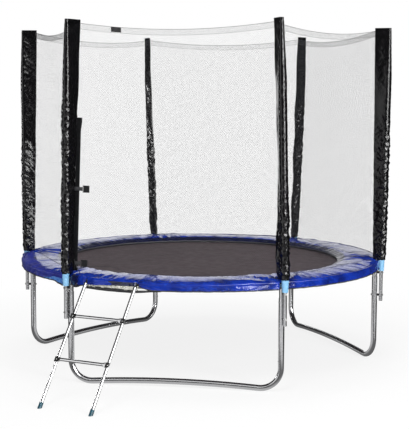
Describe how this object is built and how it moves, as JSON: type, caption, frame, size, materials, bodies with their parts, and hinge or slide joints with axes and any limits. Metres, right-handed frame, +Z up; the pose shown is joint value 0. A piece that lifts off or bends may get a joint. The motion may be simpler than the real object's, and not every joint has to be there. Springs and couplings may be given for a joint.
{
  "type": "trampoline",
  "caption": "Round garden trampoline with curved W-legs, blue spring pad, safety net on sleeved poles and a hook-on ladder.",
  "frame": {"origin": "on the floor, in the middle of the whole object's box; the trampoline's own axis stands 0.247 m behind it because the ladder reaches forwards", "axes": "+Z up, +Y from the ladder side to the back, +X to the right as seen from the ladder side"},
  "size_m": [2.6156, 2.9987, 2.276],
  "materials": {
    "galvanised_tube": "satin zinc coat",
    "pole_tube": "satin zinc coat",
    "zinc_steel": "bright zinc",
    "spring_steel": "bright zinc",
    "ladder_tube": "satin zinc coat",
    "black_metal": "satin black",
    "sleeve_fabric": "smooth coated cloth with a soft sheen",
    "foam": "closed-cell foam",
    "net_mesh": "fine knitted mesh",
    "net_hem": "woven tape",
    "zip_fabric": "matt woven flap",
    "mat_fabric": "tight black weave",
    "pad_cover": "glossy blue film over foam",
    "skirt_fabric": "glossy blue film",
    "blue_plastic": "smooth moulded",
    "black_plastic": "moulded",
    "foot_plastic": "moulded"
  },
  "bodies": {
    "frame": {"top_rail_1": "galvanised_tube", "top_rail_2": "galvanised_tube", "top_rail_3": "galvanised_tube", "top_rail_4": "galvanised_tube", "top_rail_5": "galvanised_tube", "top_rail_6": "galvanised_tube", "leg_post_1": "galvanised_tube", "leg_post_2": "galvanised_tube", "leg_post_3": "galvanised_tube", "leg_post_4": "galvanised_tube", "leg_post_5": "galvanised_tube", "leg_post_6": "galvanised_tube", "leg_base_1": "galvanised_tube", "leg_base_2": "galvanised_tube", "leg_base_3": "galvanised_tube", "lower_pole_1": "pole_tube", "lower_pole_2": "pole_tube", "lower_pole_3": "pole_tube", "lower_pole_4": "pole_tube", "lower_pole_5": "pole_tube", "lower_pole_6": "pole_tube", "upper_pole_1": "pole_tube", "upper_pole_2": "pole_tube", "upper_pole_3": "pole_tube", "upper_pole_4": "pole_tube", "upper_pole_5": "pole_tube", "upper_pole_6": "pole_tube", "pole_sleeve_1": "sleeve_fabric", "pole_sleeve_2": "sleeve_fabric", "pole_sleeve_3": "sleeve_fabric", "pole_sleeve_4": "sleeve_fabric", "pole_sleeve_5": "sleeve_fabric", "pole_sleeve_6": "sleeve_fabric", "pole_foams": "foam", "pole_collars": "blue_plastic", "pole_caps": "black_plastic", "pole_bolts": "zinc_steel", "pole_nuts": "zinc_steel", "pole_spacers": "black_plastic", "leg_screws": "zinc_steel", "safety_net": "net_mesh", "net_hems": "net_hem", "mat_springs": "spring_steel", "spring_pad": "pad_cover", "pad_skirt": "skirt_fabric", "door_zip": "zip_fabric", "door_buckle_sockets": "black_plastic"},
    "mat": {"mat": "mat_fabric", "mat_rings": "zinc_steel"},
    "ladder": {"ladder_rail_left": "ladder_tube", "ladder_rail_right": "ladder_tube", "ladder_hook_left": "ladder_tube", "ladder_hook_right": "ladder_tube", "ladder_rung_upper": "ladder_tube", "ladder_rung_lower": "ladder_tube", "ladder_feet": "foot_plastic", "ladder_screws": "zinc_steel"},
    "zip_slider": {"zip_slider": "black_metal"},
    "plug_upper": {"buckle_plug_upper": "black_plastic"},
    "plug_lower": {"buckle_plug_lower": "black_plastic"}
  },
  "joints": [
    {"name": "mat_bounce", "type": "slide", "parent": "frame", "child": "mat", "axis": [0, 0, 1], "range_m": [-0.2, 0], "stiffness_N_per_m": 5000, "springref_m": 0.04, "deforming": ["mat_springs"]},
    {"name": "ladder_swing", "type": "hinge", "parent": "frame", "child": "ladder", "pos_m": [-0.35745, -0.90632, 0.665], "axis": [-0.9552, 0.296, 0], "range_deg": [0, 20]},
    {"name": "zip_slide", "type": "slide", "parent": "frame", "child": "zip_slider", "axis": [0.0363, -0.0096, 0.9993], "range_m": [0, 0.9]},
    {"name": "buckle_upper", "type": "slide", "parent": "frame", "child": "plug_upper", "axis": [-0.9993, -0.0004, 0.0363], "range_m": [0, 0.02]},
    {"name": "buckle_lower", "type": "slide", "parent": "frame", "child": "plug_lower", "axis": [-0.9993, -0.0004, 0.0363], "range_m": [0, 0.02]}
  ]
}
